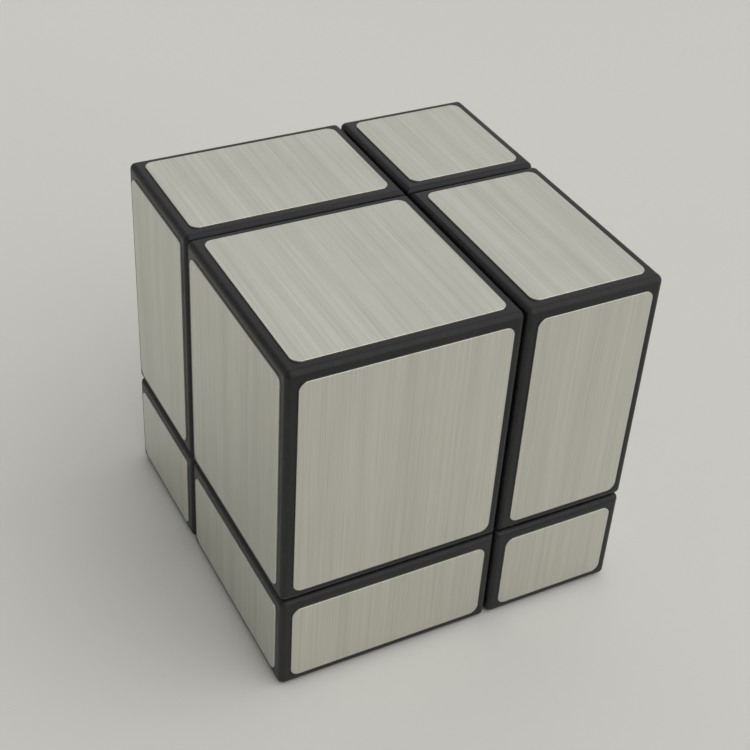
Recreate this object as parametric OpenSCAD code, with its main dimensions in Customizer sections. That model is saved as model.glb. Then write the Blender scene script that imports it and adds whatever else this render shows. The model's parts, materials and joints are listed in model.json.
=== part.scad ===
// Two-layer mirror block cube. Eight corner blocks of unequal size turn about a
// hidden six-armed core. The origin is the middle of the bottom face, +Z is up,
// and the cube's front is -Y.

/* [Cube] */
// Edge of the solved cube, over the stickers
cube_w = 50; // [48:0.5:54]
// Depth of the left layer, from the left face to the cut
left_depth = 30.5; // [28:0.5:31]
// Depth of the front layer, from the front face to the cut
front_depth = 29.5; // [27:0.5:30]
// Depth of the bottom layer, from the bottom face to the cut
bottom_depth = 15; // [15:0.5:20]
// Gap between two neighbouring blocks
cut_gap = 0.3; // [0.2:0.05:0.4]

/* [Corner blocks] */
// Wall of the outer cap
cap_wall = 1.5; // [1.2:0.1:1.6]
// Wall of the inner base
base_wall = 1.2; // [1:0.1:1.4]
// Chamfer along the edges of a block
edge_chamfer = 0.6; // [0.3:0.1:0.8]
// Radius of the post that holds a cap in its base
post_r = 1.25; // [1:0.05:1.5]

/* [Stickers] */
// Thickness of a foil sticker
sticker_t = 0.2; // [0.1:0.05:0.3]
// Bare plastic between a sticker and the edge of its block
sticker_margin = 1.45; // [1:0.05:2]
// Corner radius of a sticker
sticker_corner_r = 1.2; // [0.5:0.1:2]

/* [Mechanism] */
// Radius of the ball that the centres and edges make up
ball_r = 12; // [11.9:0.05:12.1]
// Distance from the core to the planes that part the outer lips
lip_plane = 4.4; // [4.2:0.05:4.6]
// Distance from the core to the planes that part the feet
foot_plane = 3.2; // [3.1:0.05:3.3]
// Distance that each turning surface stands back from its plane
turn_play = 0.1; // [0.08:0.01:0.15]

/* [Hidden] */
$fn = 64;
// Every side of the core, with the direction that it faces
SIDES = [
    ["top", [0, 0, 1]], ["bottom", [0, 0, -1]],
    ["left", [-1, 0, 0]], ["right", [1, 0, 0]],
    ["front", [0, -1, 0]], ["back", [0, 1, 0]]
];
// Every hidden edge, with the direction between the two sides that it joins
EDGES = [
    ["top_left", [-1, 0, 1]], ["top_right", [1, 0, 1]],
    ["top_front", [0, -1, 1]], ["top_back", [0, 1, 1]],
    ["front_left", [-1, -1, 0]], ["front_right", [1, -1, 0]],
    ["back_left", [-1, 1, 0]], ["back_right", [1, 1, 0]],
    ["bottom_left", [-1, 0, -1]], ["bottom_right", [1, 0, -1]],
    ["bottom_front", [0, -1, -1]], ["bottom_back", [0, 1, -1]]
];
// Every corner block, with the octant that it fills
CORNERS = [
    for (z = [1, -1]) for (y = [-1, 1]) for (x = [-1, 1])
        [str(z > 0 ? "top_" : "bottom_", y < 0 ? "front_" : "back_", x < 0 ? "left" : "right"), [x, y, z]]
];

// The core's centre, where the three cuts meet
middle = [left_depth - cube_w / 2, front_depth - cube_w / 2, bottom_depth];
// A block's distance from the core to its outer plastic faces, in its octant
function reach(octant) = [
    (octant.x < 0 ? left_depth : cube_w - left_depth) - sticker_t,
    (octant.y < 0 ? front_depth : cube_w - front_depth) - sticker_t,
    (octant.z < 0 ? bottom_depth : cube_w - bottom_depth) - sticker_t
];

// The ball, from the outside in: a running gap, lips, another gap, and feet
cavity_gap = 0.3;
cavity_r = ball_r + cavity_gap;
lip_t = 2.05;
lip_in_r = ball_r - lip_t;
foot_gap = 0.2;
foot_out_r = lip_in_r - foot_gap;
foot_t = 2.15;
foot_in_r = foot_out_r - foot_t;
neck_overlap = 0.1;

// One axis of the core, as distances from the core's centre
core_hub_r = 3.9;
arm_r = 2.5;
arm_end = 6.5;
stem_r = 2.5;
stem_start = arm_end + turn_play;
spring_seat = 7.9;
spring_r = 1.9;
spring_wire_r = 0.22;
spring_turns = 3;
spring_steps = 10;
spring_clear = 0.05;
washer_at = 10.5;
washer_t = 0.3;
head_at = washer_at + washer_t;
head_t = 1;
head_r = 1.9;
head_cross = [2.4, 0.5, 0.6];
screw_r = 0.9;
screw_tip = 2.6;
pocket_r = 2.05;
screw_clear = 0.15;

// The post of a cap and the boss around it, in from the block's upright outer edge
post_inset = 3.2;
boss_wall = 0.9;
boss_r = post_r + boss_wall;
boss_h = 5;
// How far a cutting shape runs past what it cuts
overrun = 1;

plastic = "#1b1c1e";
inner_plastic = "#26282b";
nylon = "#dcd8cc";
steel = "#a9abad";
foil = "#c4c3bb";

// A rectangle's outline with round corners, or cut ones where steps is 1
function outline(low, high, r, steps) = [
    for (k = [0:3]) for (i = [0:steps])
        let (
            a = 90 * (k + i / steps),
            corner = [k == 0 || k == 3 ? high.x - r : low.x + r, k < 2 ? high.y - r : low.y + r]
        )
        corner + r * [cos(a), sin(a)]
];

// Turns a shape that stands on +Z so that it faces a side of the core
module facing(side) rotate([-90 * side.y + (side.z < 0 ? 180 : 0), 90 * side.x, 0]) children();

// Puts a shape that is drawn in the +X +Y +Z octant into another one
module in_octant(octant)
    mirror([octant.x < 0 ? 1 : 0, 0, 0])
        mirror([0, octant.y < 0 ? 1 : 0, 0])
            mirror([0, 0, octant.z < 0 ? 1 : 0]) children();

module ball_shell(inner_r, outer_r) difference() {
    sphere(r = outer_r);
    sphere(r = inner_r);
}

// ---- Core, and what each of its six arms carries

module core() color(nylon) difference() {
    union() {
        sphere(r = core_hub_r);
        for (side = SIDES) facing(side[1]) cylinder(h = arm_end, r = arm_r);
    }
    for (side = SIDES) facing(side[1]) translate([0, 0, screw_tip]) cylinder(h = arm_end, r = screw_r);
}

module screw() {
    translate([0, 0, screw_tip]) cylinder(h = head_at - screw_tip + head_t / 2, r = screw_r);
    difference() {
        translate([0, 0, head_at]) cylinder(h = head_t, r = head_r);
        for (turn = [0, 90])
            rotate(turn) translate([-head_cross.x / 2, -head_cross.y / 2, head_at + head_t - head_cross.z])
                cube(head_cross);
    }
}

// A round wire wound up the axis, as rings of points joined by faces
module spring() {
    wire_sides = 5;
    steps = spring_turns * spring_steps;
    low = spring_seat + spring_clear + spring_wire_r;
    rise = washer_at - spring_clear - spring_wire_r - low;
    coil_r = spring_r - spring_wire_r;
    points = [
        for (i = [0:steps]) for (k = [0:wire_sides - 1])
            let (
                turn = i * 360 / spring_steps,
                a = k * 360 / wire_sides,
                out = coil_r + spring_wire_r * cos(a)
            )
            [out * cos(turn), out * sin(turn), low + rise * i / steps + spring_wire_r * sin(a)]
    ];
    walls = [
        for (i = [0:steps - 1]) for (k = [0:wire_sides - 1])
            let (here = i * wire_sides, next = (k + 1) % wire_sides)
            [here + k, here + wire_sides + k, here + wire_sides + next, here + next]
    ];
    first = [for (k = [0:wire_sides - 1]) k];
    last = [for (k = [wire_sides - 1:-1:0]) steps * wire_sides + k];
    polyhedron(points, concat(walls, [first, last]), convexity = 4);
}

module washer() translate([0, 0, washer_at]) difference() {
    cylinder(h = washer_t, r = head_r);
    translate([0, 0, -washer_t]) cylinder(h = 3 * washer_t, r = screw_r + screw_clear);
}

// ---- Centres and edges, which make up the ball

// The room of a piece that lies towards a direction: past one plane along the axes
// that the direction has a part in, and between a pair of planes along the others
module room(towards, past, between) {
    low = [for (d = towards) d == 0 ? turn_play - between : d > 0 ? past + turn_play : -cavity_r];
    high = [for (d = towards) d == 0 ? between - turn_play : d > 0 ? cavity_r : -past - turn_play];
    translate(low) cube(high - low);
}

// A foot under the lips of the pieces round it, and the neck that rises from it
module foot_and_neck(towards, neck_end) {
    intersection() {
        room(towards, foot_plane, foot_plane);
        ball_shell(foot_in_r, foot_out_r);
    }
    intersection() {
        room(towards, lip_plane, foot_plane);
        ball_shell(foot_out_r - neck_overlap, neck_end);
    }
}

module lip(towards) intersection() {
    room(towards, lip_plane, lip_plane);
    ball_shell(lip_in_r, ball_r);
}

module center(side) color(inner_plastic) difference() {
    union() {
        lip(side);
        foot_and_neck(side, lip_in_r + neck_overlap);
        facing(side) translate([0, 0, stem_start]) cylinder(h = spring_seat - stem_start, r = stem_r);
    }
    facing(side) cylinder(h = ball_r, r = screw_r + screw_clear);
    facing(side) translate([0, 0, spring_seat]) cylinder(h = ball_r, r = pocket_r);
}

module edge(between_sides) color(inner_plastic) {
    lip(between_sides);
    foot_and_neck(between_sides, lip_in_r + neck_overlap);
}

// ---- Corner blocks, drawn in the +X +Y +Z octant

// The whole block, with every edge chamfered
module block(reach) {
    low = cut_gap / 2;
    intersection() {
        translate([0, 0, low]) linear_extrude(reach.z - low)
            polygon(outline([low, low], [reach.x, reach.y], edge_chamfer, 1));
        translate([0, reach.y, 0]) rotate([90, 0, 0]) linear_extrude(reach.y - low)
            polygon(outline([low, low], [reach.x, reach.z], edge_chamfer, 1));
        translate([low, 0, 0]) rotate([90, 0, 90]) linear_extrude(reach.x - low)
            polygon(outline([low, low], [reach.y, reach.z], edge_chamfer, 1));
    }
}

module post(inside, from, r) translate([inside.x - post_inset, inside.y - post_inset, from])
    cylinder(h = inside.z - from + cap_wall / 2, r = r);

module cap(reach) color(plastic) {
    inside = reach - cap_wall * [1, 1, 1];
    difference() {
        block(reach);
        translate(-overrun * [1, 1, 1]) cube(inside + overrun * [1, 1, 1]);
    }
    post(inside, cut_gap / 2 + base_wall, post_r);
}

module base(reach) color(plastic) {
    inside = reach - cap_wall * [1, 1, 1];
    low = cut_gap / 2;
    difference() {
        intersection() {
            block(reach);
            cube(inside);
        }
        difference() {
            translate((low + base_wall) * [1, 1, 1]) cube(reach);
            sphere(r = cavity_r + base_wall);
            translate([inside.x - post_inset, inside.y - post_inset, 0])
                cylinder(h = low + base_wall + boss_h, r = boss_r);
        }
        sphere(r = cavity_r);
        post(inside, low + base_wall, post_r);
    }
    foot_and_neck([1, 1, 1], cavity_r + base_wall / 2);
}

module stickers(reach) color(foil) {
    low = (cut_gap / 2 + sticker_margin) * [1, 1];
    high = reach - sticker_margin * [1, 1, 1];
    round_steps = 6;
    translate([0, 0, reach.z]) linear_extrude(sticker_t)
        polygon(outline(low, [high.x, high.y], sticker_corner_r, round_steps));
    translate([0, reach.y + sticker_t, 0]) rotate([90, 0, 0]) linear_extrude(sticker_t)
        polygon(outline(low, [high.x, high.z], sticker_corner_r, round_steps));
    translate([reach.x, 0, 0]) rotate([90, 0, 90]) linear_extrude(sticker_t)
        polygon(outline(low, [high.y, high.z], sticker_corner_r, round_steps));
}

// ---- The assembly

translate(middle) {
    core();
    color(steel) for (side = SIDES) facing(side[1]) screw();  // screws
    color(steel) for (side = SIDES) facing(side[1]) spring();  // springs
    color(steel) for (side = SIDES) facing(side[1]) washer();  // washers
    for (side = SIDES)
        center(side[1]);
    for (e = EDGES)
        edge(e[1]);
    for (c = CORNERS) in_octant(c[1]) {
        base(reach(c[1]));
        cap(reach(c[1]));
        stickers(reach(c[1]));
    }
}
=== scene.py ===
import json
import math
import bmesh
import bpy
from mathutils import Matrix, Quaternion, Vector


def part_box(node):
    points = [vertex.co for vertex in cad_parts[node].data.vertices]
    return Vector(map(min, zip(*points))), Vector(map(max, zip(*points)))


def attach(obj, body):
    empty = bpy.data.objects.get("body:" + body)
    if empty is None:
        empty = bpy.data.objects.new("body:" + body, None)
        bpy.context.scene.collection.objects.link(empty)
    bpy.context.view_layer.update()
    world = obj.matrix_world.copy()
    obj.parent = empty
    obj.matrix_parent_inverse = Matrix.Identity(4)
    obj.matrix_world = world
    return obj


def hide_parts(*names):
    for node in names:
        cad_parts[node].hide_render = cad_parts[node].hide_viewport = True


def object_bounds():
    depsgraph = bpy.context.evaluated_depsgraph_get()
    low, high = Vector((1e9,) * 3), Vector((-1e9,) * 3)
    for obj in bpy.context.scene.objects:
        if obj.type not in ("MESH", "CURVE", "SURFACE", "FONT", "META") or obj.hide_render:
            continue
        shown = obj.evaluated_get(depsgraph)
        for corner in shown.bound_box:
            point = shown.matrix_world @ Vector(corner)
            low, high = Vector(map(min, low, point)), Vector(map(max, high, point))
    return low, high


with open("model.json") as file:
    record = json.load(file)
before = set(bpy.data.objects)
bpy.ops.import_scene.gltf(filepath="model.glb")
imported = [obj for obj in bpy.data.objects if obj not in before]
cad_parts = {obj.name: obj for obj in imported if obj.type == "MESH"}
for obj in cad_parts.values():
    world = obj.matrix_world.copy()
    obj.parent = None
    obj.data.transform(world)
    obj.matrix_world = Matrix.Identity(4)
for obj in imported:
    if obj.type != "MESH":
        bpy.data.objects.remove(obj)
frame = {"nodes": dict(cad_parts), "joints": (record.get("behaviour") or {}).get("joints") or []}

cad_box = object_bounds()

# ---- Core
# A six-armed spider of natural nylon in the middle of the cube, moulded in one
# piece. Each arm has a pilot hole for the screw that holds a centre piece on it.


def wire(tree, kind, inputs=None, **settings):
    """Adds a shader node with its settings, and sets or links its inputs."""
    made = tree.nodes.new(kind)
    for name, value in settings.items():
        setattr(made, name, value)
    for name, value in (inputs or {}).items():
        if isinstance(value, bpy.types.NodeSocket):
            tree.links.new(value, made.inputs[name])
        else:
            made.inputs[name].default_value = value
    return made


def blend_colours(tree, factor, first, second):
    """Mixes two colours, either of which may come from another node."""
    return wire(tree, "ShaderNodeMix", {0: factor, 6: first, 7: second}, data_type="RGBA").outputs[2]


def spread(tree, value, low, high):
    """Stretches a mask from 0 and 1 to two other values."""
    return wire(tree, "ShaderNodeMapRange", {"Value": value, "To Min": low, "To Max": high}).outputs["Result"]


def mask_between(tree, value, low, high):
    """Makes a mask that is 0 where a value is at the low level and 1 at the high one."""
    levels = {"Value": value, "From Min": low, "From Max": high}
    return wire(tree, "ShaderNodeMapRange", levels).outputs["Result"]


def add_share(tree, value, share, base):
    """Adds a share of one value to another."""
    return wire(tree, "ShaderNodeMath", {0: value, 1: share, 2: base}, operation="MULTIPLY_ADD").outputs[0]


def new_group(name, inputs, outputs):
    """Starts a node group with named sockets and returns it with its two ends."""
    group = bpy.data.node_groups.new(name, "ShaderNodeTree")
    for socket, kind, value in inputs:
        made = group.interface.new_socket(socket, in_out="INPUT", socket_type="NodeSocket" + kind)
        if value is not None:
            made.default_value = value
    for socket, kind in outputs:
        group.interface.new_socket(socket, in_out="OUTPUT", socket_type="NodeSocket" + kind)
    return group, group.nodes.new("NodeGroupInput").outputs, group.nodes.new("NodeGroupOutput").inputs


def new_material(name):
    """Starts a material and returns it with its tree, its shader and Object coordinates."""
    made = bpy.data.materials.new(name)
    made.use_nodes = True
    tree = made.node_tree
    return made, tree, tree.nodes["Principled BSDF"], tree.nodes.new("ShaderNodeTexCoord").outputs["Object"]


def paint(piece, material):
    """Gives every material slot of a piece one material."""
    if not piece.material_slots:
        piece.data.materials.append(material)
    for slot in piece.material_slots:
        slot.material = material


# Unevenness of a moulded skin: a normal with fine grain on slow waves, and a
# patchy mask of where hands have dulled it.
skin, given, result = new_group(
    "moulded skin",
    [("Place", "Vector", None), ("Grains per metre", "Float", 9000.0), ("Depth", "Float", 0.00001)],
    [("Normal", "Vector"), ("Handled", "Float")],
)
grain = wire(skin, "ShaderNodeTexNoise",
             {"Vector": given["Place"], "Scale": given["Grains per metre"], "Detail": 3.0, "Roughness": 0.6})
waves = wire(skin, "ShaderNodeTexNoise", {"Vector": given["Place"], "Scale": 240.0, "Detail": 2.0})
uneven = add_share(skin, waves.outputs["Fac"], 2.0, grain.outputs["Fac"])
bump = wire(skin, "ShaderNodeBump", {"Distance": given["Depth"], "Height": uneven})
touch = wire(skin, "ShaderNodeTexNoise",
             {"Vector": given["Place"], "Scale": 95.0, "Detail": 5.0, "Roughness": 0.62, "Distortion": 0.6})
skin.links.new(bump.outputs["Normal"], result["Normal"])
skin.links.new(mask_between(skin, touch.outputs["Fac"], 0.42, 0.68), result["Handled"])

nylon, tree, shader, place = new_material("natural nylon")
skin_of = wire(tree, "ShaderNodeGroup", {"Place": place, "Depth": 0.000012}, node_tree=skin).outputs
colour = blend_colours(tree, skin_of["Handled"], (0.74, 0.72, 0.64, 1), (0.66, 0.63, 0.54, 1))
tree.links.new(colour, shader.inputs["Base Color"])
tree.links.new(spread(tree, skin_of["Handled"], 0.38, 0.52), shader.inputs["Roughness"])
tree.links.new(skin_of["Normal"], shader.inputs["Normal"])
shader.inputs["Subsurface Weight"].default_value = 0.15
shader.inputs["Subsurface Scale"].default_value = 0.001
paint(frame["nodes"]["core"], nylon)

# ---- Screws, springs and washers
# One zinc plated screw goes through each centre piece into an arm of the core,
# with a washer and a coil spring under its head that press the layers together.

MM = 0.001
core_center = Vector(next(j["pos_m"] for j in frame["joints"] if j["name"] == "top_turn"))
side_directions = {
    "top": Vector((0, 0, 1)), "bottom": Vector((0, 0, -1)), "left": Vector((-1, 0, 0)),
    "right": Vector((1, 0, 0)), "front": Vector((0, -1, 0)), "back": Vector((0, 1, 0)),
}
screw_r, screw_tip = 0.9 * MM, 2.6 * MM
shank_overlap, shank_rings, threaded_rings = 0.2 * MM, 30, 20
thread_root, tip_taper = 0.8, 0.5
head_r, head_from, head_to, head_dome = 1.9 * MM, 10.8 * MM, 11.8 * MM, 0.4 * MM
cross_half_length, cross_half_width, cross_depth, cross_taper = 1.2 * MM, 0.22 * MM, 0.6 * MM, 0.7
spring_r, spring_wire_r = 1.9 * MM, 0.22 * MM
spring_from, spring_to, spring_turns = 7.97 * MM, 10.43 * MM, 3
# Points within a sliver of each other are merged, and points that touch are in one place.
sliver, touching = 0.01 * MM, 0.001 * MM
sharp_angle, smooth_angle = math.radians(40), math.radians(32)

plated, tree, shader, place = new_material("zinc plated steel")
skin_of = wire(tree, "ShaderNodeGroup", {"Place": place, "Grains per metre": 16000.0, "Depth": 0.000004},
               node_tree=skin).outputs
colour = blend_colours(tree, skin_of["Handled"], (0.66, 0.67, 0.68, 1), (0.56, 0.56, 0.55, 1))
tree.links.new(colour, shader.inputs["Base Color"])
tree.links.new(spread(tree, skin_of["Handled"], 0.24, 0.38), shader.inputs["Roughness"])
tree.links.new(skin_of["Normal"], shader.inputs["Normal"])
shader.inputs["Metallic"].default_value = 1.0
paint(frame["nodes"]["washers"], plated)


def pick(piece, kind, wanted):
    """Goes into edit mode with only the edges or faces selected that pass a test."""
    bpy.ops.object.mode_set(mode="EDIT")
    bpy.ops.mesh.select_mode(type="VERT")
    bpy.ops.mesh.select_all(action="DESELECT")
    bpy.ops.mesh.select_mode(type=kind)
    shape = bmesh.from_edit_mesh(piece.data)
    for part in (shape.edges if kind == "EDGE" else shape.faces):
        if wanted(part):
            part.select_set(True)
    shape.select_flush_mode()
    bmesh.update_edit_mesh(piece.data)


def round_edges(piece, width, segments, wanted):
    """Rounds the edges of the active piece that pass a test."""
    pick(piece, "EDGE", wanted)
    bpy.ops.mesh.bevel(offset=width, segments=segments, affect="EDGES")
    bpy.ops.object.mode_set(mode="OBJECT")


def settle(piece):
    """Puts a piece's place into its mesh, so that its object sits at the origin."""
    bpy.ops.object.select_all(action="DESELECT")
    piece.select_set(True)
    bpy.context.view_layer.objects.active = piece
    bpy.ops.object.transform_apply(location=True, rotation=True, scale=True)


def add_cylinder(radius, low, high, sides=48, x=0, y=0):
    """An upright cylinder between two heights, alone selected and settled."""
    bpy.ops.object.select_all(action="DESELECT")
    bpy.ops.mesh.primitive_cylinder_add(
        vertices=sides, radius=radius, depth=abs(high - low), location=(x, y, (low + high) / 2))
    settle(bpy.context.object)
    return bpy.context.object


def add_block(low, high):
    """A box between two corners, alone selected and settled."""
    lowest = Vector([min(pair) for pair in zip(low, high)])
    highest = Vector([max(pair) for pair in zip(low, high)])
    bpy.ops.object.select_all(action="DESELECT")
    bpy.ops.mesh.primitive_cube_add(size=1, location=(lowest + highest) / 2, scale=highest - lowest)
    settle(bpy.context.object)
    return bpy.context.object


def carve(piece, tool, operation="DIFFERENCE"):
    """Cuts a piece with a tool, joins the tool to it, or keeps what they share."""
    bpy.ops.object.select_all(action="DESELECT")
    piece.select_set(True)
    bpy.context.view_layer.objects.active = piece
    bpy.ops.object.modifier_add(type="BOOLEAN")
    step = piece.modifiers[-1]
    step.object, step.operation, step.solver = tool, operation, "MANIFOLD"
    bpy.ops.object.modifier_apply(modifier=step.name)
    bpy.data.objects.remove(tool)
    return piece


def merge_slivers(reach):
    """Merges the points of the active piece that lie almost on each other."""
    bpy.ops.object.mode_set(mode="EDIT")
    bpy.ops.mesh.select_mode(type="VERT")
    bpy.ops.mesh.select_all(action="SELECT")
    bpy.ops.mesh.remove_doubles(threshold=reach)
    bpy.ops.mesh.dissolve_degenerate(threshold=reach)
    bpy.ops.object.mode_set(mode="OBJECT")


def finish_edges(piece, width):
    """Eases a piece's sharp edges and smooths the rest, with its flats kept flat."""
    bpy.ops.object.select_all(action="DESELECT")
    piece.select_set(True)
    bpy.context.view_layer.objects.active = piece
    merge_slivers(sliver)
    if width:
        bpy.ops.object.modifier_add(type="BEVEL")
        step = piece.modifiers[-1]
        step.width, step.segments, step.limit_method = width, 2, "ANGLE"
        step.angle_limit = sharp_angle
        step.use_clamp_overlap = True
        bpy.ops.object.modifier_apply(modifier=step.name)
        merge_slivers(touching)
    bpy.ops.object.shade_smooth_by_angle(angle=smooth_angle)
    bpy.ops.object.modifier_add(type="WEIGHTED_NORMAL")
    piece.modifiers[-1].keep_sharp = True
    bpy.ops.object.modifier_apply(modifier=piece.modifiers[-1].name)


def copy_to_sides(pattern, name, body_of_side, slot, *nodes):
    """Copies a piece drawn up the Z axis to all six sides of the core."""
    for side, towards in side_directions.items():
        piece = pattern.copy()
        piece.data = pattern.data.copy()
        piece.name = f"{name}_{side}"
        bpy.context.scene.collection.objects.link(piece)
        turn = Vector((0, 0, 1)).rotation_difference(towards)
        piece.data.transform(turn.to_matrix().to_4x4())
        for vertex in piece.data.vertices:
            vertex.co += core_center
        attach(piece, body_of_side)
        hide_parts(*nodes)
    bpy.data.objects.remove(pattern)


# The pan head is a cylinder, domed by a wide bevel, with a cross pressed into it.
screw = add_cylinder(head_r, head_from, head_to)
round_edges(screw, head_dome, 5, lambda e: all(v.co.z > head_to - sliver for v in e.verts))
for half_x, half_y in ((cross_half_length, cross_half_width), (cross_half_width, cross_half_length)):
    slot_tool = add_block((-half_x, -half_y, head_to - cross_depth), (half_x, half_y, head_to + MM))
    pick(slot_tool, "FACE", lambda f: f.normal.z < -0.9)
    bpy.ops.transform.resize(value=(cross_taper, cross_taper, 1))
    bpy.ops.object.mode_set(mode="OBJECT")
    carve(screw, slot_tool)
# The shank is a cylinder whose rings are drawn in by turns, which leaves a thread.
shank = add_cylinder(screw_r, screw_tip, head_from + shank_overlap, 32)
shank_h = head_from + shank_overlap - screw_tip
bpy.ops.object.mode_set(mode="EDIT")
for ring in range(1, shank_rings):
    bpy.ops.mesh.select_all(action="SELECT")
    bpy.ops.mesh.bisect(plane_co=(0, 0, screw_tip + shank_h * ring / shank_rings), plane_no=(0, 0, 1))
bpy.ops.object.mode_set(mode="OBJECT")
for vertex in shank.data.vertices:
    ring = round((vertex.co.z - screw_tip) / shank_h * shank_rings)
    if ring % 2 == 0 and 0 < ring < threaded_rings:
        vertex.co.xy *= thread_root
    if ring == 0:
        vertex.co.xy *= tip_taper
carve(screw, shank, "UNION")
finish_edges(screw, 0)
paint(screw, plated)
copy_to_sides(screw, "screw", "bottom_back_left", "steel", "screws")

# The spring is a ring of wire swept up a helix by the Screw modifier.
bpy.ops.object.select_all(action="DESELECT")
bpy.ops.mesh.primitive_circle_add(
    vertices=12, radius=spring_wire_r, fill_type="NOTHING", rotation=(math.radians(90), 0, 0),
    location=(spring_r - spring_wire_r, 0, spring_from + spring_wire_r))
spring = bpy.context.object
settle(spring)
bpy.ops.object.modifier_add(type="SCREW")
turns = spring.modifiers[-1]
turns.angle = math.radians(360)
turns.iterations = spring_turns
turns.steps = turns.render_steps = 32
turns.screw_offset = (spring_to - spring_from - 2 * spring_wire_r) / spring_turns
turns.use_merge_vertices = True
bpy.ops.object.modifier_apply(modifier=turns.name)
bpy.ops.object.mode_set(mode="EDIT")
bpy.ops.mesh.select_mode(type="VERT")
bpy.ops.mesh.select_all(action="SELECT")
bpy.ops.mesh.remove_doubles(threshold=touching)
bpy.ops.mesh.select_all(action="DESELECT")
bpy.ops.mesh.select_non_manifold(extend=False)
bpy.ops.mesh.edge_face_add()
bpy.ops.mesh.select_all(action="SELECT")
bpy.ops.mesh.normals_make_consistent(inside=False)
bpy.ops.object.mode_set(mode="OBJECT")
bpy.ops.object.shade_smooth_by_angle(angle=sharp_angle)
paint(spring, plated)
copy_to_sides(spring, "spring", "bottom_back_left", "steel", "springs")

# ---- Centre and edge pieces
# Satin black mouldings that make up the hidden ball: six centres on the screws
# and twelve edges held between them. Their lips hold the feet of the blocks in.

satin, tree, shader, place = new_material("satin black moulding")
skin_of = wire(tree, "ShaderNodeGroup", {"Place": place, "Grains per metre": 7000.0, "Depth": 0.00002},
               node_tree=skin).outputs
colour = blend_colours(tree, skin_of["Handled"], (0.024, 0.025, 0.027, 1), (0.04, 0.041, 0.043, 1))
tree.links.new(colour, shader.inputs["Base Color"])
tree.links.new(spread(tree, skin_of["Handled"], 0.36, 0.5), shader.inputs["Roughness"])
tree.links.new(skin_of["Normal"], shader.inputs["Normal"])
for name, cad_node in frame["nodes"].items():
    if name.startswith(("center_", "edge_")):
        paint(cad_node, satin)

# ---- Inner bases
# Eight black ABS mouldings, the plain faces that a turned layer shows. Each has
# three walls, a round cup that clears the ball, and a foot under the ball's lips.

base_wall, block_round, eased_edge = 1.2 * MM, 0.6 * MM, 0.1 * MM
cavity_r, post_r, post_inset, boss_r, boss_h = 12.3 * MM, 1.25 * MM, 3.2 * MM, 2.15 * MM, 5 * MM
foot_in_r, foot_out_r = 7.6 * MM, 9.75 * MM
foot_from, neck_from, neck_overlap = 3.3 * MM, 4.5 * MM, 0.1 * MM
corners = {
    f"{z}_{y}_{x}": Vector((-1 if x == "left" else 1, -1 if y == "front" else 1, 1 if z == "top" else -1))
    for z in ("top", "bottom") for y in ("front", "back") for x in ("left", "right")
}


def multiply(tree, first, second):
    """Multiplies two values."""
    return wire(tree, "ShaderNodeMath", {0: first, 1: second}, operation="MULTIPLY").outputs[0]


# Rub marks: faint rings round a layer's axis, where the blocks slide on each other,
# and a mask of the eased edges, which wear to a lighter grey.
rub, given, result = new_group(
    "rub marks",
    [("Place", "Vector", None), ("Facing", "Vector", None), ("Rim", "Float", 0.0)],
    [("Rings", "Float"), ("Worn", "Float")],
)
from_core = wire(rub, "ShaderNodeVectorMath", {0: given["Place"], 1: core_center},
                 operation="SUBTRACT").outputs[0]
facing = wire(rub, "ShaderNodeVectorMath", {0: given["Facing"]}, operation="ABSOLUTE").outputs[0]
off_axis = wire(rub, "ShaderNodeVectorMath", {0: from_core, 1: facing}, operation="MULTIPLY").outputs[0]
in_plane = wire(rub, "ShaderNodeVectorMath", {0: from_core, 1: off_axis}, operation="SUBTRACT").outputs[0]
radius = wire(rub, "ShaderNodeVectorMath", {0: in_plane}, operation="LENGTH").outputs["Value"]
fine = wire(rub, "ShaderNodeTexNoise", {"W": radius, "Scale": 1900.0, "Detail": 3.0, "Roughness": 0.6},
            noise_dimensions="1D").outputs["Fac"]
patches = wire(rub, "ShaderNodeTexNoise",
               {"Vector": given["Place"], "Scale": 60.0, "Detail": 2.0}).outputs["Fac"]
rings = multiply(rub, mask_between(rub, fine, 0.42, 0.72), mask_between(rub, patches, 0.3, 0.75))
chips = wire(rub, "ShaderNodeTexNoise",
             {"Vector": given["Place"], "Scale": 900.0, "Detail": 6.0, "Roughness": 0.7}).outputs["Fac"]
worn = multiply(rub, mask_between(rub, chips, 0.44, 0.64), given["Rim"])
rub.links.new(rings, result["Rings"])
rub.links.new(worn, result["Worn"])


def black_abs(name, with_rings):
    """Black ABS: moulded skin, worn edges, and rub rings where blocks slide."""
    made, tree, shader, place = new_material(name)
    skin_of = wire(tree, "ShaderNodeGroup", {"Place": place, "Grains per metre": 11000.0, "Depth": 0.000006},
                   node_tree=skin).outputs
    rim = wire(tree, "ShaderNodeAttribute", attribute_name="rim").outputs["Fac"]
    facing = wire(tree, "ShaderNodeTexCoord").outputs["Normal"]
    marks = wire(tree, "ShaderNodeGroup", {"Place": place, "Facing": facing, "Rim": rim},
                 node_tree=rub).outputs
    colour = blend_colours(tree, skin_of["Handled"], (0.010, 0.0115, 0.011, 1), (0.016, 0.0175, 0.017, 1))
    if with_rings:
        colour = blend_colours(tree, spread(tree, marks["Rings"], 0, 0.6), colour, (0.036, 0.038, 0.037, 1))
    colour = blend_colours(tree, spread(tree, marks["Worn"], 0, 0.45), colour, (0.045, 0.047, 0.044, 1))
    tree.links.new(colour, shader.inputs["Base Color"])
    dull = add_share(tree, marks["Worn"], 0.14, spread(tree, skin_of["Handled"], 0.3, 0.42))
    if with_rings:
        dull = add_share(tree, marks["Rings"], 0.22, dull)
    tree.links.new(dull, shader.inputs["Roughness"])
    tree.links.new(skin_of["Normal"], shader.inputs["Normal"])
    shader.inputs["Specular IOR Level"].default_value = 0.3
    return made


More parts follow.
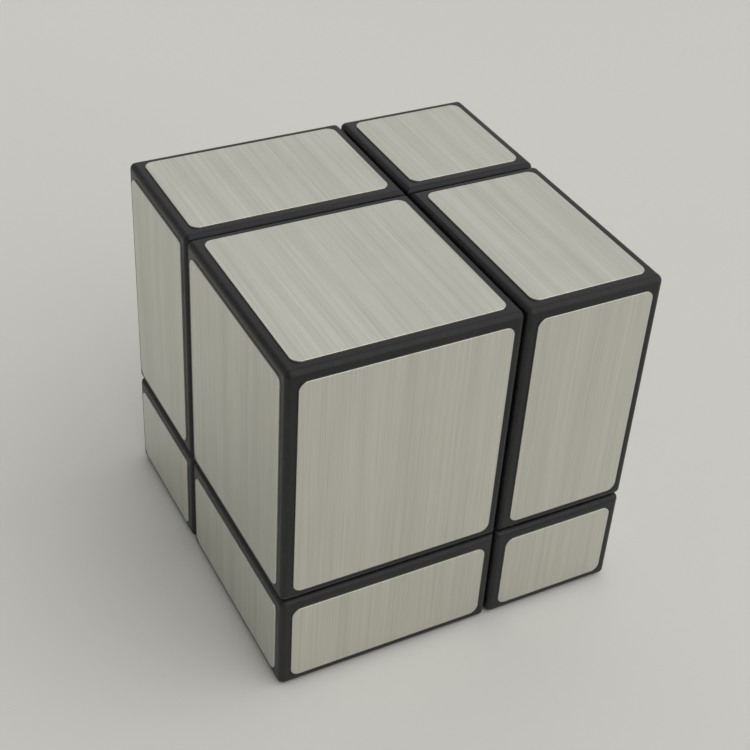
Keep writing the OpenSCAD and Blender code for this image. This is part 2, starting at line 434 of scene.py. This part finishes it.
def mark_rim(piece, low, high, reach):
    """Stores how close each point is to an edge of the block: 0 on the flats, up to 1."""
    rim = piece.data.attributes.new("rim", "FLOAT", "POINT")
    for vertex, value in zip(piece.data.vertices, rim.data):
        to_faces = sorted(min(abs(vertex.co[i] - low[i]), abs(high[i] - vertex.co[i])) for i in range(3))
        value.value = max(0.0, 1 - to_faces[1] / reach)


def add_ball(radius):
    """A ball about the core's centre, alone selected and settled."""
    bpy.ops.object.select_all(action="DESELECT")
    bpy.ops.mesh.primitive_uv_sphere_add(segments=96, ring_count=48, radius=radius, location=core_center)
    settle(bpy.context.object)
    return bpy.context.object


def ends_of(box, octant):
    """The corners of a box nearest to the core and farthest from it."""
    low, high = box
    near = Vector([low[i] if octant[i] > 0 else high[i] for i in range(3)])
    far = Vector([high[i] if octant[i] > 0 else low[i] for i in range(3)])
    return near, far


inner_black = black_abs("black ABS, inner faces", True)
for corner, octant in corners.items():
    near, far = ends_of(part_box("base_" + corner), octant)
    base = add_block(near, far)
    base.name = "inner_base_" + corner
    round_edges(base, block_round, 4, lambda e: all(
        sum(abs(v.co[i] - near[i]) < touching for i in range(3)) >= 2 for v in e.verts))
    hollow = add_block(near + octant * base_wall, far + octant * MM)
    carve(hollow, add_ball(cavity_r + base_wall))
    post_x, post_y = far.x - octant.x * post_inset, far.y - octant.y * post_inset
    wall_z = near.z + octant.z * base_wall
    boss = add_cylinder(boss_r, wall_z - octant.z * MM, wall_z + octant.z * boss_h, x=post_x, y=post_y)
    carve(hollow, boss)
    carve(base, hollow)
    carve(base, add_ball(cavity_r))
    socket = add_cylinder(post_r, wall_z, wall_z + octant.z * (boss_h + MM), x=post_x, y=post_y)
    carve(base, socket)
    for inner_r, outer_r, start in (
        (foot_in_r, foot_out_r, foot_from),
        (foot_out_r - neck_overlap, cavity_r + base_wall / 2, neck_from),
    ):
        room = add_block(core_center + octant * start, core_center + octant * (cavity_r + MM))
        held = carve(carve(add_ball(outer_r), room, "INTERSECT"), add_ball(inner_r))
        carve(base, held, "UNION")
    finish_edges(base, eased_edge)
    # The cap covers the far faces, so they lie out of the rim's reach.
    mark_rim(base, near, far + octant * MM, block_round)
    paint(base, inner_black)
    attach(base, corner)
    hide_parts("base_" + corner)

# ---- Outer caps
# Eight semi-gloss black ABS shells, the three outer walls of each block, with all
# edges rounded. A post inside each one is pressed into the boss of its base.

cap_wall, outer_round, post_slack = 1.5 * MM, 0.8 * MM, 0.02 * MM
outer_black = black_abs("black ABS, outer caps", False)
for corner, octant in corners.items():
    near, far = ends_of(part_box("cap_" + corner), octant)
    cap = add_block(near, far)
    cap.name = "outer_cap_" + corner
    round_edges(cap, outer_round, 5, lambda e: all(
        any(abs(v.co[i] - far[i]) < touching for i in range(3)) for v in e.verts))
    carve(cap, add_block(near - octant * MM, far - octant * cap_wall))
    post_x = far.x - octant.x * (cap_wall + post_inset)
    post_y = far.y - octant.y * (cap_wall + post_inset)
    post_z = near.z + octant.z * base_wall
    post = add_cylinder(post_r - post_slack, post_z, far.z - octant.z * cap_wall / 2, x=post_x, y=post_y)
    carve(cap, post, "UNION")
    finish_edges(cap, eased_edge)
    mark_rim(cap, near, far, outer_round)
    paint(cap, outer_black)
    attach(cap, corner)
    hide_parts("cap_" + corner)

# ---- Foil stickers
# Twenty-four stickers of brushed silver foil with round corners, three on each
# block, cut from one sheet and stuck on by hand.

foil_t, foil_margin, foil_corner_r, foil_rolled_edge = 0.2 * MM, 1.45 * MM, 1.2 * MM, 0.07 * MM
sheet_step = 0.0713

# Brushing: streaks of several widths along the sheet, broken up along their
# length, as a height and a tone.
brushing, given, result = new_group(
    "brushed streaks",
    [("Sheet place", "Vector", None)],
    [("Height", "Float"), ("Tone", "Float")],
)


def streaks(across, along, detail):
    """Noise that is stretched along the sheet's brushing direction."""
    stretched = wire(brushing, "ShaderNodeVectorMath", {0: given["Sheet place"], 1: (across, along, 1)},
                     operation="MULTIPLY").outputs[0]
    return wire(brushing, "ShaderNodeTexNoise",
                {"Vector": stretched, "Scale": 1.0, "Detail": detail, "Roughness": 0.55},
                noise_dimensions="2D").outputs["Fac"]


hairlines = streaks(9000, 70, 3.0)
strands = streaks(2600, 22, 3.0)
bands = streaks(420, 9, 2.0)
height = add_share(brushing, strands, 0.8, hairlines)
tone = mask_between(brushing, add_share(brushing, bands, 0.9, height), 0.95, 1.75)
brushing.links.new(height, result["Height"])
brushing.links.new(tone, result["Tone"])

foil, tree, shader, place = new_material("brushed silver foil")
sheet = wire(tree, "ShaderNodeUVMap", uv_map="sheet").outputs["UV"]
brushed = wire(tree, "ShaderNodeGroup", {"Sheet place": sheet}, node_tree=brushing).outputs
skin_of = wire(tree, "ShaderNodeGroup", {"Place": place, "Grains per metre": 14000.0, "Depth": 0.000003},
               node_tree=skin).outputs
colour = blend_colours(tree, brushed["Tone"], (0.57, 0.565, 0.502, 1), (0.68, 0.674, 0.602, 1))
tree.links.new(colour, shader.inputs["Base Color"])
dull = add_share(tree, skin_of["Handled"], 0.07, spread(tree, brushed["Tone"], 0.38, 0.27))
tree.links.new(dull, shader.inputs["Roughness"])
brush_bump = wire(tree, "ShaderNodeBump", {"Strength": 0.5, "Distance": 0.000012, "Height": brushed["Height"],
                                           "Normal": skin_of["Normal"]})
tree.links.new(brush_bump.outputs["Normal"], shader.inputs["Normal"])
shader.inputs["Metallic"].default_value = 1.0

# Each sticker is cut from a new place on the sheet, so no two have the same streaks.
sheet_start = 0.0
for corner, octant in corners.items():
    low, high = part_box("cap_" + corner)
    for axis in range(3):
        outside = high[axis] if octant[axis] > 0 else low[axis]
        sticker_low = low + Vector((1, 1, 1)) * foil_margin
        sticker_high = high - Vector((1, 1, 1)) * foil_margin
        sticker_low[axis] = min(outside, outside + octant[axis] * foil_t)
        sticker_high[axis] = max(outside, outside + octant[axis] * foil_t)
        sticker = add_block(sticker_low, sticker_high)
        sticker.name = f"foil_{corner}_{'xyz'[axis]}"
        round_edges(sticker, foil_corner_r, 10,
                    lambda e: abs((e.verts[0].co - e.verts[1].co)[axis]) > foil_t / 2)
        top = outside + octant[axis] * foil_t
        round_edges(sticker, foil_rolled_edge, 3,
                    lambda e: all(abs(v.co[axis] - top) < touching for v in e.verts))
        finish_edges(sticker, 0)
        across, along = (1, 2) if axis == 0 else (0, 2) if axis == 1 else (0, 1)
        sheet_start += sheet_step
        places = sticker.data.uv_layers.new(name="sheet")
        for loop, place_on_sheet in zip(sticker.data.loops, places.data):
            point = sticker.data.vertices[loop.vertex_index].co
            place_on_sheet.uv = (point[across] + sheet_start, point[along] + sheet_start)
        paint(sticker, foil)
        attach(sticker, corner)
        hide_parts("stickers_" + corner)

# ---- Table, light and camera
# A plain pale table top, broad soft lights, and the camera where a person who
# looks down at the cube's front left corner holds their head.

table_size, table_gap = 30, 0.02 * MM
camera_azimuth, camera_elevation, camera_tilt, camera_distance = -29.5, 37.2, 3.9, 0.1966


def direction(azimuth, elevation):
    """The way from the cube to a place round it and above it, in degrees from its front."""
    round_it, above_it = math.radians(azimuth), math.radians(elevation)
    level = math.cos(above_it)
    return Vector((math.sin(round_it) * level, -math.cos(round_it) * level, math.sin(above_it)))


bpy.ops.object.select_all(action="DESELECT")
bpy.ops.mesh.primitive_plane_add(size=table_size, location=(0, 0, -table_gap))
table = bpy.context.object
table.name = "table"
tabletop, tree, shader, place = new_material("pale table top")
patches = wire(tree, "ShaderNodeTexNoise", {"Vector": place, "Scale": 9.0, "Detail": 3.0}).outputs["Fac"]
colour = blend_colours(tree, patches, (0.78, 0.77, 0.73, 1), (0.81, 0.80, 0.76, 1))
tree.links.new(colour, shader.inputs["Base Color"])
shader.inputs["Roughness"].default_value = 0.7
shader.inputs["Specular IOR Level"].default_value = 0.25
paint(table, tabletop)

# The backdrop that the camera sees is brighter than the light that it gives.
world = bpy.data.worlds.new("studio")
bpy.context.scene.world = world
world.use_nodes = True
backdrop = world.node_tree.nodes["Background"].inputs
backdrop["Color"].default_value = (0.97, 0.97, 0.96, 1)
seen = wire(world.node_tree, "ShaderNodeLightPath").outputs["Is Camera Ray"]
world.node_tree.links.new(spread(world.node_tree, seen, 0.36, 0.62), backdrop["Strength"])
for name, azimuth, elevation, width, strength in (
    ("key light", 38, 42, 90, 1.45),
    ("back light", 152, 44, 60, 0.3),
):
    lamp = bpy.data.lights.new(name, "SUN")
    lamp.angle, lamp.energy = math.radians(width), strength
    holder = bpy.data.objects.new(name, lamp)
    holder.rotation_euler = direction(azimuth, elevation).to_track_quat("Z", "Y").to_euler()
    bpy.context.scene.collection.objects.link(holder)

middle = (cad_box[0] + cad_box[1]) / 2
back = direction(camera_azimuth, camera_elevation)
tilt = Quaternion((0, 0, 1), math.radians(camera_tilt))
lens = bpy.data.cameras.new("camera")
lens.sensor_width, lens.lens = 36, 70
lens.clip_start, lens.clip_end = 0.01, 20
camera = bpy.data.objects.new("camera", lens)
camera.location = middle + back * camera_distance
camera.rotation_euler = (back.to_track_quat("Z", "Y") @ tilt).to_euler()
bpy.context.scene.collection.objects.link(camera)
bpy.context.scene.camera = camera
bpy.context.scene.view_settings.view_transform = "Standard"
